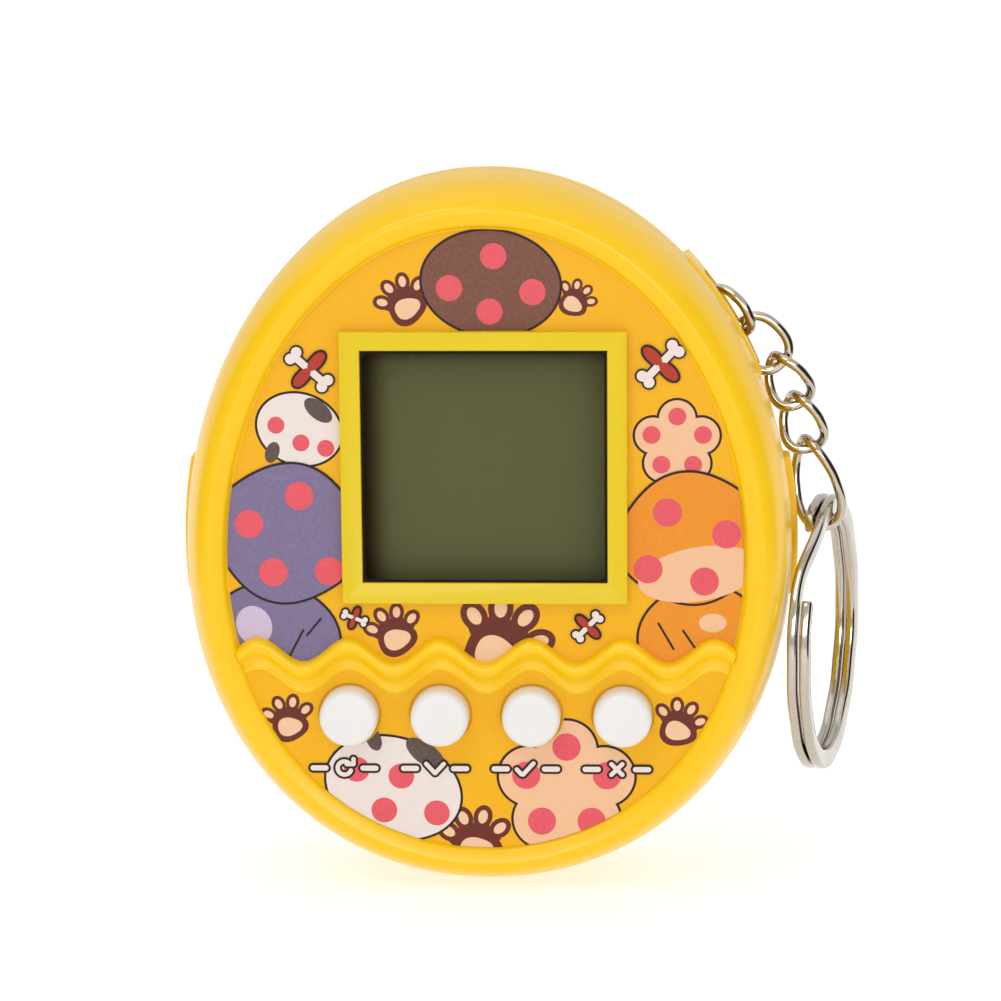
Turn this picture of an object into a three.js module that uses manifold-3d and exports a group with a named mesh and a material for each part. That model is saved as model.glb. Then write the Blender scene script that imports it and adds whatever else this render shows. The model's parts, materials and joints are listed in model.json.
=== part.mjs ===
// Virtual pet keychain: an egg-shaped handheld game with four buttons, a small liquid-crystal
// screen, and a short curb chain with a split ring.
// Millimetres, +Z up. The face looks along -Y, and the origin is the middle of the flat back.
import * as THREE from "three";
import { mergeVertices } from "three/addons/utils/BufferGeometryUtils.js";
import Module from "manifold-3d";

const wasm = await Module();
wasm.setup();

// ---------------------------------------------------------------- driving dimensions
// Case outline: an egg, a little narrower at the top.
const HALF_WIDTH = 22.5;
const HALF_HEIGHT = 26.5;
const EGG_TAPER = 0.052; // share of the width that moves from the top to the bottom
const EGG_SQUARENESS = 2.06; // 2 is an ellipse
const EGG_SEGMENTS = 48;
const ROUND_SEGMENTS = 12;

// Depths, all negative because the face is at -Y.
const SEAM_Y = -7.5;
const SEAM_GAP = 0.05;
const CREST_Y = -15.5;
const PANEL_Y = -14.6;
const PANEL_INNER_Y = -13.2;
const RECESS_INSET = 3.6; // from the outline to the foot of the wall round the sunk face
const BACK_WALL = 1.5;

// Screen window and its raised frame.
const WINDOW_Z = 5.5;
const WINDOW = { width: 17.9, height: 17.1 };
const BEZEL = { width: 20.8, height: 20.0, rise: 0.8, rim: 0.5 };
const LENS = { width: 19.8, height: 19.0, thickness: 1.0 };

// Buttons.
const BUTTON_Z = -12.9;
const BUTTON_PITCH = 6.7;
const BUTTON_RADIUS = 2.13;
const BUTTON_HOLE_RADIUS = 2.3;
const BUTTON_FLANGE_RADIUS = 2.75;
const BUTTON_FACE_Y = -16.6;
const BUTTON_NAMES = ["reset", "select", "decide", "cancel"];

// Scalloped ridge that crosses the face between the screen and the buttons.
const RIDGE = { crestZ: -7.15, dip: 1.8, width: 2.3, rise: 0.85 };

// Circuit board and what it carries.
const BOARD_FRONT_Y = -10.2;
const BOARD_BACK_Y = -9.2;

// Battery compartment: two LR44 cells side by side under a door on the back.
const CELL = { radius: 5.8, thickness: 5.4, x: 6.0, z: -7.5, backY: -1.75 };
const BAY = { width: 24.4, height: 12.2, wall: 1.0, floorY: -7.7, floorThickness: 0.7 };
const DOOR = { width: 25.7, height: 12.9, thickness: 1.35, gap: 0.15 };
const DOOR_SCREW_Z = -12.25;

// Case screws, [x, z].
const SCREW_PLACES = [
  [-14.4, 10],
  [14.4, 10],
  [-8.2, -19.2],
  [8.2, -19.2],
];
const SCREW = { headRadius: 1.6, headY: -3.4, headHeight: 1.1, shankRadius: 0.9, tipY: -11.6 };
const BOSS_RADIUS = 2.1;

// Buzzer behind the speaker holes.
const BUZZER = { z: 9.2, radius: 7.2, ceramicRadius: 5.2 };

// Side pads, and the strap pad with its notch and bar, on the back half's edge.
const PAD = { proud: 0.5, frontY: -7.45, backY: -4.4, halfLength: 5.0, z: -0.2 };
const STRAP_PAD = { proud: 0.4, frontY: -7.45, backY: -1.3, halfLength: 4.2, pastBar: 0.7 };
const BAR = { x: 16.6, z: 15.8, radius: 0.5 };
const NOTCH = { radius: 2.8, frontY: -5.5, backY: -1.9, wall: 0.8, mouth: [21.6, 10.2] };

// Chain: the wire and where each pair of links crosses, [x, z], from the strap bar downwards.
const WIRE = 0.36;
const LINK_GAP = 0.08;
const CHAIN_Y = -3.6;
const CROSSINGS = [
  [19.05, 14.25],
  [21.5, 11.7],
  [22.9, 8.7],
  [23.75, 5.35],
  [25.1, -0.6],
];
const LINK_WIDTHS = [4.4, 4.2, 4.2, 4.2, 4.5];
const LINK_BLUNTNESS = 0.84; // 1 is an ellipse
// How far each link's top and bottom ends are twisted out of the chain's own plane, in degrees.
const LINK_TWISTS = [
  [0, 62],
  [4, 4],
  [72, 4],
  [72, 4],
  [72, 4],
];

// Split ring: two flat turns of spring wire.
const RING = {
  outer: 10.45,
  wide: 1.5,
  thick: 0.74,
  gap: 0.14,
  turns: 1.88,
  stepAngle: 0.35,
  stepAt: 44, // degrees forwards from the top
  turnedBy: 13,
  seat: 0.45, // how far its inside stands above the lowest point of the last link's hole
};

// ---------------------------------------------------------------- solids
function solidOf(geometry) {
  const bare = geometry.clone();
  bare.deleteAttribute("normal");
  bare.deleteAttribute("uv");
  const merged = mergeVertices(bare, 1e-4);
  return new wasm.Manifold(
    new wasm.Mesh({
      numProp: 3,
      vertProperties: new Float32Array(merged.attributes.position.array),
      triVerts: new Uint32Array(merged.index.array),
    }),
  );
}

function geometryOf(solid) {
  const mesh = solid.getMesh();
  const positions = new Float32Array(mesh.numVert * 3);
  for (let i = 0; i < mesh.numVert; i++) {
    positions.set(mesh.vertProperties.subarray(i * mesh.numProp, i * mesh.numProp + 3), i * 3);
  }
  const geometry = new THREE.BufferGeometry();
  geometry.setAttribute("position", new THREE.BufferAttribute(positions, 3));
  geometry.setIndex(new THREE.BufferAttribute(mesh.triVerts, 1));
  return geometry;
}

// A box by its middle in X and Z and its back and front in Y.
function block(x, z, width, height, backY, frontY) {
  const made = new THREE.BoxGeometry(width, backY - frontY, height);
  made.translate(x, (backY + frontY) / 2, z);
  return solidOf(made);
}

// A shape drawn in X and Z, pulled forwards from backY to frontY.
function plate(shape, backY, frontY, curveSegments = 6) {
  const depth = backY - frontY;
  const made = new THREE.ExtrudeGeometry(shape, { depth, bevelEnabled: false, curveSegments });
  made.rotateX(Math.PI / 2);
  made.translate(0, backY, 0);
  return solidOf(made);
}

// A round bar along Y.
function rod(x, z, radius, backY, frontY, segments = ROUND_SEGMENTS) {
  const made = new THREE.CylinderGeometry(radius, radius, backY - frontY, segments);
  made.translate(x, (backY + frontY) / 2, z);
  return solidOf(made);
}

// A lathe about a line along Y: profile points are [radius, y].
function turned(x, z, profile, segments = ROUND_SEGMENTS) {
  const points = profile.map(([radius, y]) => new THREE.Vector2(radius, y));
  const made = new THREE.LatheGeometry(points, segments);
  made.translate(x, 0, z);
  const solid = solidOf(made);
  if (solid.volume() > 0) return solid;
  const back = new THREE.LatheGeometry(points.reverse(), segments);
  back.translate(x, 0, z);
  return solidOf(back);
}

function roundedRectangle(x, z, width, height, radius) {
  const shape = new THREE.Shape();
  const left = x - width / 2;
  const right = x + width / 2;
  const low = z - height / 2;
  const high = z + height / 2;
  shape.moveTo(left + radius, low);
  shape.lineTo(right - radius, low);
  shape.absarc(right - radius, low + radius, radius, -Math.PI / 2, 0, false);
  shape.lineTo(right, high - radius);
  shape.absarc(right - radius, high - radius, radius, 0, Math.PI / 2, false);
  shape.lineTo(left + radius, high);
  shape.absarc(left + radius, high - radius, radius, Math.PI / 2, Math.PI, false);
  shape.lineTo(left, low + radius);
  shape.absarc(left + radius, low + radius, radius, Math.PI, 1.5 * Math.PI, false);
  return shape;
}

// ---------------------------------------------------------------- the egg
// A point on the outline moved inwards by inset, at an angle from the top.
function eggPoint(angle, inset) {
  const power = 2 / EGG_SQUARENESS;
  const across = Math.sign(Math.sin(angle)) * Math.abs(Math.sin(angle)) ** power;
  const along = Math.sign(Math.cos(angle)) * Math.abs(Math.cos(angle)) ** power;
  const taper = 1 - EGG_TAPER * Math.cos(angle);
  return [(HALF_WIDTH - inset) * across * taper, (HALF_HEIGHT - inset) * along];
}

// A closed body from egg-shaped rings: profile points are [inset, y], back to front or the reverse.
function eggSolid(profile) {
  const positions = [];
  const index = [];
  for (const [inset, y] of profile) {
    for (let i = 0; i < EGG_SEGMENTS; i++) {
      const [x, z] = eggPoint((i / EGG_SEGMENTS) * 2 * Math.PI, inset);
      positions.push(x, y, z);
    }
  }
  for (let ring = 0; ring < profile.length - 1; ring++) {
    for (let i = 0; i < EGG_SEGMENTS; i++) {
      const a = ring * EGG_SEGMENTS + i;
      const b = ring * EGG_SEGMENTS + ((i + 1) % EGG_SEGMENTS);
      index.push(a, b, a + EGG_SEGMENTS, b, b + EGG_SEGMENTS, a + EGG_SEGMENTS);
    }
  }
  const first = positions.length / 3;
  positions.push(0, profile[0][1], 0, 0, profile[profile.length - 1][1], 0);
  const lastRing = (profile.length - 1) * EGG_SEGMENTS;
  for (let i = 0; i < EGG_SEGMENTS; i++) {
    const next = (i + 1) % EGG_SEGMENTS;
    index.push(first, next, i);
    index.push(first + 1, lastRing + i, lastRing + next);
  }
  const made = new THREE.BufferGeometry();
  made.setAttribute("position", new THREE.Float32BufferAttribute(positions, 3));
  made.setIndex(index);
  const solid = solidOf(made);
  if (solid.volume() > 0) return solid;
  for (let i = 0; i < index.length; i += 3) [index[i + 1], index[i + 2]] = [index[i + 2], index[i + 1]];
  made.setIndex(index);
  return solidOf(made);
}

// ---------------------------------------------------------------- materials
function plastic(colour, roughness = 0.4) {
  return new THREE.MeshStandardMaterial({ color: colour, roughness, metalness: 0 });
}
function metal(colour, roughness = 0.25) {
  return new THREE.MeshStandardMaterial({ color: colour, roughness, metalness: 1 });
}
const YELLOW = plastic(0xfccc16, 0.35);
const WHITE = plastic(0xf4f0ec, 0.55);
const CLEAR = plastic(0xdfe6df, 0.08);
const SCREEN = plastic(0x5f5e3e, 0.2);
const GREY = plastic(0x8d8f90, 0.5);
const DARK = plastic(0x202020, 0.6);
const SILICONE = plastic(0xd8d8d4, 0.7);
const GREEN = plastic(0x1f6b3a, 0.4);
const CERAMIC = plastic(0xf0ece0, 0.5);
const RED = plastic(0xb02020, 0.5);
const STEEL = metal(0xb9b9bb);
const NICKEL = metal(0xd8d6d2, 0.15);
const BRASS = metal(0xc9a24a, 0.3);

const toy = new THREE.Group();
function add(name, solid, material) {
  const mesh = new THREE.Mesh(geometryOf(solid), material);
  mesh.name = name;
  toy.add(mesh);
}

// ---------------------------------------------------------------- case
const buttonX = BUTTON_NAMES.map((_, i) => (i - 1.5) * BUTTON_PITCH);

// The scalloped top edge of the ridge: a hump over each button and one at each end.
function scallopZ(x) {
  return RIDGE.crestZ - RIDGE.dip * Math.sin((Math.PI * (x - buttonX[0])) / BUTTON_PITCH) ** 2;
}

function ridge() {
  const shape = new THREE.Shape();
  const reach = HALF_WIDTH - RECESS_INSET;
  const steps = 44;
  const at = (i) => -reach + (2 * reach * i) / steps;
  shape.moveTo(at(0), scallopZ(at(0)));
  for (let i = 1; i <= steps; i++) shape.lineTo(at(i), scallopZ(at(i)));
  for (let i = steps; i >= 0; i--) shape.lineTo(at(i), scallopZ(at(i)) - RIDGE.width);
  const band = plate(shape, PANEL_Y + 0.5, PANEL_Y - RIDGE.rise);
  const inWall = RECESS_INSET - 0.2;
  return band.intersect(eggSolid([[inWall, PANEL_Y + 1], [inWall, CREST_Y - 1]]));
}

// The window frame: a square rim that slopes down to the opening.
function bezel() {
  const outer = block(0, WINDOW_Z, BEZEL.width, BEZEL.height, PANEL_Y + 0.5, PANEL_Y - BEZEL.rise);
  const slope = new THREE.CylinderGeometry(1, 1, 1, 4);
  slope.rotateY(Math.PI / 4);
  slope.scale(Math.SQRT2, 1, Math.SQRT2); // a unit square prism, from -1 to 1 across
  const place = slope.attributes.position;
  for (let i = 0; i < place.count; i++) {
    const front = place.getY(i) < 0;
    const halfWidth = front ? BEZEL.width / 2 - BEZEL.rim : WINDOW.width / 2;
    const halfHeight = front ? BEZEL.height / 2 - BEZEL.rim : WINDOW.height / 2;
    place.setXYZ(
      i,
      place.getX(i) * halfWidth,
      front ? PANEL_Y - BEZEL.rise - 0.01 : PANEL_Y + 0.1,
      place.getZ(i) * halfHeight + WINDOW_Z,
    );
  }
  return outer.subtract(solidOf(slope));
}

function frontCase() {
  let shell = eggSolid([
    [0, SEAM_Y - SEAM_GAP],
    [0, -9.2],
    [0.15, -10.8],
    [0.55, -12.5],
    [1.15, -13.9],
    [1.8, -14.85],
    [2.35, -15.35],
    [2.75, CREST_Y],
    [RECESS_INSET - 0.4, -15.4],
    [RECESS_INSET - 0.15, -15.1],
    [RECESS_INSET, PANEL_Y],
  ]);
  const cavity = eggSolid([
    [1.5, SEAM_Y + 1],
    [1.7, -10.6],
    [2.5, -12.4],
    [3.5, PANEL_INNER_Y],
  ]);
  shell = shell.subtract(cavity).add(bezel()).add(ridge());
  for (const [x, z] of SCREW_PLACES) {
    shell = shell.add(rod(x, z, BOSS_RADIUS, SEAM_Y - 0.15, PANEL_INNER_Y - 0.4));
  }
  for (const [x, z] of SCREW_PLACES) {
    shell = shell.subtract(rod(x, z, SCREW.shankRadius + 0.12, SEAM_Y + 1, SCREW.tipY - 0.4));
  }
  shell = shell.subtract(block(0, WINDOW_Z, WINDOW.width, WINDOW.height, -12, -16));
  shell = shell.subtract(
    block(0, WINDOW_Z, LENS.width + 0.2, LENS.height + 0.2, -12, PANEL_INNER_Y - LENS.thickness - 0.06),
  );
  for (const x of buttonX) shell = shell.subtract(rod(x, BUTTON_Z, BUTTON_HOLE_RADIUS, -12, -17, 24));
  return shell;
}

// One raised pad on the edge of the back half, cut from a slightly larger egg.
function edgePad(pad, angle, centre) {
  const proud = eggSolid([
    [-pad.proud + 0.25, pad.frontY],
    [-pad.proud, pad.frontY + 0.25],
    [-pad.proud, pad.backY - 0.7],
    [-pad.proud + 0.5, pad.backY],
  ]);
  const cutter = new THREE.BoxGeometry(9, 12, 2 * pad.halfLength);
  cutter.rotateY(angle);
  cutter.translate(centre[0], SEAM_Y / 2, centre[1]);
  return proud.intersect(solidOf(cutter));
}

// The strap notch: a long hole with round ends, from the bar down along the edge.
function notchShape(wall) {
  const [endX, endZ] = NOTCH.mouth;
  const radius = NOTCH.radius + wall;
  const heading = Math.atan2(endZ - BAR.z, endX - BAR.x);
  const shape = new THREE.Shape();
  shape.absarc(BAR.x, BAR.z, radius, heading + Math.PI / 2, heading + 1.5 * Math.PI, false);
  shape.absarc(endX, endZ, radius, heading - Math.PI / 2, heading + Math.PI / 2, false);
  return shape;
}

function rearCase() {
  const outerProfile = [
    [0, SEAM_Y],
    [0, -6.0],
    [0.25, -4.4],
    [0.85, -2.7],
    [1.7, -1.4],
    [2.8, -0.45],
    [4.0, 0],
  ];
  const outer = eggSolid(outerProfile);
  const cavity = eggSolid([
    [1.5, SEAM_Y - 1],
    [1.5, -6.0],
    [1.75, -4.4],
    [2.4, -2.9],
    [3.6, -BACK_WALL],
  ]);
  const barAngle = Math.atan2(BAR.x / HALF_WIDTH ** 2, BAR.z / HALF_HEIGHT ** 2) - Math.PI / 2;
  const strapPadMiddle = [
    BAR.x - STRAP_PAD.pastBar * Math.sin(barAngle),
    BAR.z - STRAP_PAD.pastBar * Math.cos(barAngle),
  ];
  let shell = outer
    .add(edgePad(PAD, 0, [-HALF_WIDTH, PAD.z]))
    .add(edgePad(PAD, 0, [HALF_WIDTH, PAD.z]))
    .add(edgePad(STRAP_PAD, barAngle, strapPadMiddle));
  const whole = shell;
  shell = shell.subtract(cavity);

  // screw bosses, battery bay, buzzer seat and the block round the strap bar
  for (const [x, z] of SCREW_PLACES) shell = shell.add(rod(x, z, BOSS_RADIUS, -1, SEAM_Y + 0.15));
  const bayWidth = BAY.width + 2 * BAY.wall;
  const bayHeight = BAY.height + 2 * BAY.wall;
  const bayFloorFront = BAY.floorY - BAY.floorThickness;
  shell = shell.add(block(0, CELL.z, bayWidth, bayHeight, -1, bayFloorFront));
  const seat = rod(0, BUZZER.z, BUZZER.radius + 0.9, -1, -2.9, 32);
  shell = shell.add(seat.subtract(rod(0, BUZZER.z, BUZZER.radius + 0.15, -1, -3, 32)));
  const lug = plate(notchShape(NOTCH.wall), NOTCH.backY + 0.6, NOTCH.frontY - 0.7);
  shell = shell.add(lug.intersect(whole));

  // the bay's inside, the door's opening and the screw holes
  const boss = rod(0, DOOR_SCREW_Z, 1.5, -BACK_WALL - 0.1, BAY.floorY);
  const bay = block(0, CELL.z, BAY.width, BAY.height, 1, BAY.floorY);
  shell = shell.subtract(bay.subtract(boss));
  const opening = roundedRectangle(0, CELL.z, DOOR.width + 0.3, DOOR.height + 0.3, 1.1);
  shell = shell.subtract(plate(opening, 1, -BACK_WALL));
  shell = shell.subtract(rod(0, DOOR_SCREW_Z, 1.0, 1, -6.6));
  for (const side of [-1, 1]) {
    shell = shell.subtract(block(side * 11.0, CELL.z, 1.0, 4.4, BAY.floorY + 1, bayFloorFront - 1));
  }
  for (const [x, z] of SCREW_PLACES) {
    shell = shell.subtract(rod(x, z, SCREW.headRadius + 0.2, 1, SCREW.headY));
    shell = shell.subtract(rod(x, z, SCREW.shankRadius + 0.12, 1, SEAM_Y - 1));
  }

  // speaker holes: one in the middle and six round it
  const holeRadius = 0.6;
  const ringOfHoles = 2.4;
  shell = shell.subtract(rod(0, BUZZER.z, holeRadius, 1, -3, 8));
  for (let i = 0; i < 6; i++) {
    const angle = (i * Math.PI) / 3;
    const x = ringOfHoles * Math.sin(angle);
    const z = BUZZER.z + ringOfHoles * Math.cos(angle);
    shell = shell.subtract(rod(x, z, holeRadius, 1, -3, 8));
  }

  // strap notch, crossed by its bar
  const notch = plate(notchShape(0), NOTCH.backY, NOTCH.frontY);
  return shell.subtract(notch.subtract(rod(BAR.x, BAR.z, BAR.radius, NOTCH.backY, NOTCH.frontY, 12)));
}

add("front_case", frontCase(), YELLOW);
add("rear_case", rearCase(), YELLOW);

// ---------------------------------------------------------------- battery door and cells
function screw(x, z, headBackY, headRadius, headHeight, shankRadius, tipY) {
  const underHead = headBackY - headHeight;
  const made = turned(x, z, [
    [0, headBackY],
    [headRadius * 0.7, headBackY],
    [headRadius, headBackY - 0.35],
    [headRadius, underHead],
    [shankRadius, underHead],
    [shankRadius, tipY + 1],
    [0, tipY],
  ]);
  const slot = 0.42;
  const reach = headRadius * 1.1;
  const cross = block(x, z, reach, slot, headBackY + 1, headBackY - 0.55).add(
    block(x, z, slot, reach, headBackY + 1, headBackY - 0.55),
  );
  return made.subtract(cross);
}

function batteryDoor() {
  const outline = roundedRectangle(0, CELL.z, DOOR.width, DOOR.height, 1.0);
  const inner = -DOOR.gap - DOOR.thickness + 0.05;
  let door = plate(outline, -0.1, inner);
  for (const side of [-1, 1]) {
    door = door.add(block(side * (BAY.width / 2 - 0.7), CELL.z + 5.2, 0.9, 1.2, -1, -3.2));
  }
  door = door.subtract(rod(0, DOOR_SCREW_Z, 1.05, 1, -3));
  door = door.subtract(rod(0, DOOR_SCREW_Z, 1.65, 1, -0.95));
  const thumbNotch = block(0, CELL.z + DOOR.height / 2, 5, 1.0, 1, -0.6);
  return door.subtract(thumbNotch);
}
add("battery_door", batteryDoor(), YELLOW);
add("battery_door_screw", screw(0, DOOR_SCREW_Z, -0.2, 1.5, 0.7, 0.85, -5.4), STEEL);

const cellFrontY = CELL.backY - CELL.thickness;
function buttonCell(x, capAtBack) {
  const cap = 0.35; // the raised negative cap
  const capRadius = 4.2;
  const [capEnd, canEnd] = capAtBack ? [CELL.backY, cellFrontY] : [cellFrontY, CELL.backY];
  const inward = Math.sign(canEnd - capEnd);
  return turned(x, CELL.z, [
    [0, capEnd],
    [capRadius, capEnd],
    [capRadius, capEnd + inward * cap],
    [CELL.radius - 0.5, capEnd + inward * cap],
    [CELL.radius, capEnd + inward * (cap + 0.5)],
    [CELL.radius, canEnd - inward * 0.3],
    [CELL.radius - 0.3, canEnd],
    [0, canEnd],
  ], 24);
}
add("battery_cell_left", buttonCell(-CELL.x, false), NICKEL);
add("battery_cell_right", buttonCell(CELL.x, true), NICKEL);
add("battery_bridge_contact", block(0, CELL.z + 0.5, 17, 4.6, -1.52, -1.68), STEEL);
for (const [side, name] of [[-1, "battery_negative_contact"], [1, "battery_positive_contact"]]) {
  const leaf = block(side * 8.6, CELL.z, 5.6, 3.8, cellFrontY - 0.1, cellFrontY - 0.35);
  const tail = block(side * 11.0, CELL.z, 0.5, 3.8, cellFrontY - 0.1, BOARD_BACK_Y + 0.06);
  add(name, leaf.add(tail), STEEL);
}
SCREW_PLACES.forEach(([x, z], i) => {
  const made = screw(x, z, SCREW.headY + SCREW.headHeight + 0.06, SCREW.headRadius,
    SCREW.headHeight, SCREW.shankRadius, SCREW.tipY);
  add(`case_screw_${i + 1}`, made, STEEL);
});

// ---------------------------------------------------------------- buzzer
add("buzzer_disc", rod(0, BUZZER.z, BUZZER.radius, -1.58, -1.83, 32), BRASS);
add("buzzer_ceramic", rod(0, BUZZER.z, BUZZER.ceramicRadius, -1.86, -2.08, 32), CERAMIC);
function lead(points) {
  const route = new THREE.CatmullRomCurve3(points.map(([x, y, z]) => new THREE.Vector3(x, y, z)));
  const section = new THREE.Shape().absarc(0, 0, 0.35, 0, 2 * Math.PI);
  return solidOf(
    new THREE.ExtrudeGeometry(section, { steps: 16, curveSegments: 4, extrudePath: route }),
  );
}
add("buzzer_lead_red", lead([[-6.3, -2.3, 9.2], [-6.6, -4.2, 10.4], [-6, -6.6, 12.6], [-5.6, -8.75, 14.2]]), RED);
add("buzzer_lead_black", lead([[4.4, -2.55, 9.2], [5.4, -4.4, 10.4], [5.9, -6.6, 12.6], [5.6, -8.75, 14.2]]), DARK);

// ---------------------------------------------------------------- circuit board
function boardShape() {
  const shape = new THREE.Shape();
  shape.moveTo(-11, -16.8);
  shape.lineTo(11, -16.8);
  shape.lineTo(14.6, -14.2);
  shape.lineTo(16, -9);
  shape.lineTo(16, 2);
  shape.lineTo(11.9, 6);
  shape.lineTo(11.9, 15);
  shape.lineTo(9, 18.2);
  shape.lineTo(-9, 18.2);
  shape.lineTo(-11.9, 15);
  shape.lineTo(-11.9, 6);
  shape.lineTo(-16, 2);
  shape.lineTo(-16, -9);
  shape.lineTo(-14.6, -14.2);
  return shape;
}
add("circuit_board", plate(boardShape(), BOARD_BACK_Y, BOARD_FRONT_Y), GREEN);
add("chip_blob", turned(0, 5, [
  [0, BOARD_BACK_Y + 0.02],
  [4.6, BOARD_BACK_Y + 0.02],
  [4.2, BOARD_BACK_Y + 0.6],
  [2.8, BOARD_BACK_Y + 1.1],
  [0, BOARD_BACK_Y + 1.3],
], 24), DARK);
add("clock_resistor", block(8.4, 8.5, 2.0, 1.2, BOARD_BACK_Y + 0.62, BOARD_BACK_Y + 0.02), DARK);
add("supply_capacitor", block(-8.4, 8.5, 2.0, 1.25, BOARD_BACK_Y + 0.92, BOARD_BACK_Y + 0.02), BRASS);

// ---------------------------------------------------------------- screen
const lensFront = PANEL_INNER_Y - LENS.thickness;
add("display_lens", block(0, WINDOW_Z, LENS.width, LENS.height, PANEL_INNER_Y - 0.02, lensFront), CLEAR);
function screenHolder() {
  const width = 23.4;
  const height = 22.4;
  const body = block(0, WINDOW_Z, width, height, BOARD_FRONT_Y - 0.05, PANEL_INNER_Y + 0.06);
  const glassSeat = block(0, WINDOW_Z, 21.6, 20.6, -9, -12.75);
  return body.subtract(glassSeat).subtract(block(0, WINDOW_Z, 18.9, 17.9, -9, -14));
}
add("screen_holder", screenHolder(), DARK);
add("lcd_polariser", block(0, WINDOW_Z, 20.4, 19.4, -12.5, -12.68), SCREEN);
add("lcd_glass", block(0, WINDOW_Z, 21.2, 20.2, -11.35, -12.46), CLEAR);
add("lcd_reflector", block(0, WINDOW_Z, 20.4, 15.4, -11.12, -11.32), GREY);
for (const [side, name] of [[1, "zebra_strip_top"], [-1, "zebra_strip_bottom"]]) {
  add(name, block(0, WINDOW_Z + side * 9.1, 20.4, 1.7, BOARD_FRONT_Y - 0.03, -11.32), DARK);
}

// ---------------------------------------------------------------- keypad and buttons
function keypadMat() {
  let mat = plate(roundedRectangle(0, BUTTON_Z, 27.4, 5.9, 1.8), BOARD_FRONT_Y - 0.03, BOARD_FRONT_Y - 0.75);
  for (const x of buttonX) mat = mat.subtract(rod(x, BUTTON_Z, 2.5, -9, -12));
  return mat;
}
add("keypad_mat", keypadMat(), SILICONE);

const flangeFront = PANEL_INNER_Y + 0.06;
const flangeBack = flangeFront + 0.7;
BUTTON_NAMES.forEach((name, i) => {
  const x = buttonX[i];
  const cap = turned(x, BUTTON_Z, [
    [0, flangeBack],
    [BUTTON_FLANGE_RADIUS, flangeBack],
    [BUTTON_FLANGE_RADIUS, flangeFront],
    [BUTTON_RADIUS, flangeFront],
    [BUTTON_RADIUS, BUTTON_FACE_Y + 0.3],
    [BUTTON_RADIUS - 0.1, BUTTON_FACE_Y + 0.1],
    [BUTTON_RADIUS - 0.35, BUTTON_FACE_Y],
    [0, BUTTON_FACE_Y],
  ], 24);
  add(`${name}_button`, cap, WHITE);
  add(`${name}_plunger`, rod(x, BUTTON_Z, 2.15, -11.24, flangeBack + 0.03), SILICONE);
  add(`${name}_contact_pill`, rod(x, BUTTON_Z, 1.3, -11.0, -11.22, 12), DARK);
});

// ---------------------------------------------------------------- chain
// Squares off an ellipse a little, as a bent wire link is.
function blunted(value) {
  return Math.sign(value) * Math.abs(value) ** LINK_BLUNTNESS;
}

// A link's centre line: an oval whose plane turns about the chain's own direction.
class LinkCurve extends THREE.Curve {
  constructor(top, bottom, width, topTwist, bottomTwist) {
    super();
    this.middle = new THREE.Vector3((top[0] + bottom[0]) / 2, CHAIN_Y, (top[1] + bottom[1]) / 2);
    this.along = new THREE.Vector3(bottom[0] - top[0], 0, bottom[1] - top[1]);
    this.reach = this.along.length() / 2 + WIRE + LINK_GAP / 2;
    this.along.normalize();
    this.across = new THREE.Vector3(-this.along.z, 0, this.along.x);
    this.halfWidth = width / 2 - WIRE;
    this.twist = [topTwist, bottomTwist];
  }
  getPoint(t, target = new THREE.Vector3()) {
    const turn = 2 * Math.PI * t;
    const share = (1 + Math.cos(turn)) / 2; // 0 at the top end, 1 at the bottom
    const twist = THREE.MathUtils.degToRad(this.twist[0] + (this.twist[1] - this.twist[0]) * share);
    const side = this.halfWidth * blunted(Math.sin(turn));
    return target
      .copy(this.middle)
      .addScaledVector(this.along, this.reach * blunted(Math.cos(turn)))
      .addScaledVector(this.across, side * Math.cos(twist))
      .add(new THREE.Vector3(0, -side * Math.sin(twist), 0));
  }
}
function link(top, bottom, width, topTwist, bottomTwist) {
  const curve = new LinkCurve(top, bottom, width, topTwist, bottomTwist);
  return solidOf(new THREE.TubeGeometry(curve, 26, WIRE, 6, true));
}

// The first link hangs on the strap bar, and each other link on the one above it.
function towards(from, to, distance) {
  const length = Math.hypot(to[0] - from[0], to[1] - from[1]);
  return [0, 1].map((k) => from[k] + ((to[k] - from[k]) * distance) / length);
}
const barContact = towards([BAR.x, BAR.z], CROSSINGS[0], -(BAR.radius + 0.02));
CROSSINGS.forEach((bottom, i) => {
  const top = i === 0 ? barContact : CROSSINGS[i - 1];
  add(`chain_link_${i + 1}`, link(top, bottom, LINK_WIDTHS[i], ...LINK_TWISTS[i]), NICKEL);
});

// ---------------------------------------------------------------- split ring
// Two turns of flat wire: each steps sideways by one wire where it passes the other's end.
class RingCurve extends THREE.Curve {
  getPoint(t, target = new THREE.Vector3()) {
    const angle = 2 * Math.PI * RING.turns * (t - 0.5);
    const step = THREE.MathUtils.smoothstep(angle, -RING.stepAngle, RING.stepAngle);
    const pitch = RING.thick + RING.gap;
    const radius = RING.outer - RING.wide / 2;
    return target.set((step - 0.5) * pitch, radius * Math.sin(angle), radius * Math.cos(angle));
  }
}
function splitRing() {
  const section = roundedRectangle(0, 0, RING.thick, RING.wide, 0.2);
  const ring = new THREE.ExtrudeGeometry(section, {
    steps: 60,
    curveSegments: 1,
    extrudePath: new RingCurve(),
  });
  const [hangX, hangZ] = CROSSINGS[CROSSINGS.length - 1];
  ring.rotateX(THREE.MathUtils.degToRad(RING.stepAt));
  ring.rotateZ(THREE.MathUtils.degToRad(-RING.turnedBy));
  ring.translate(hangX, CHAIN_Y, hangZ + RING.seat - (RING.outer - RING.wide));
  return solidOf(ring);
}
add("split_ring", splitRing(), STEEL);

export default toy;
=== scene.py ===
import json
import math

import bpy
from mathutils import Matrix, Vector


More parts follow.
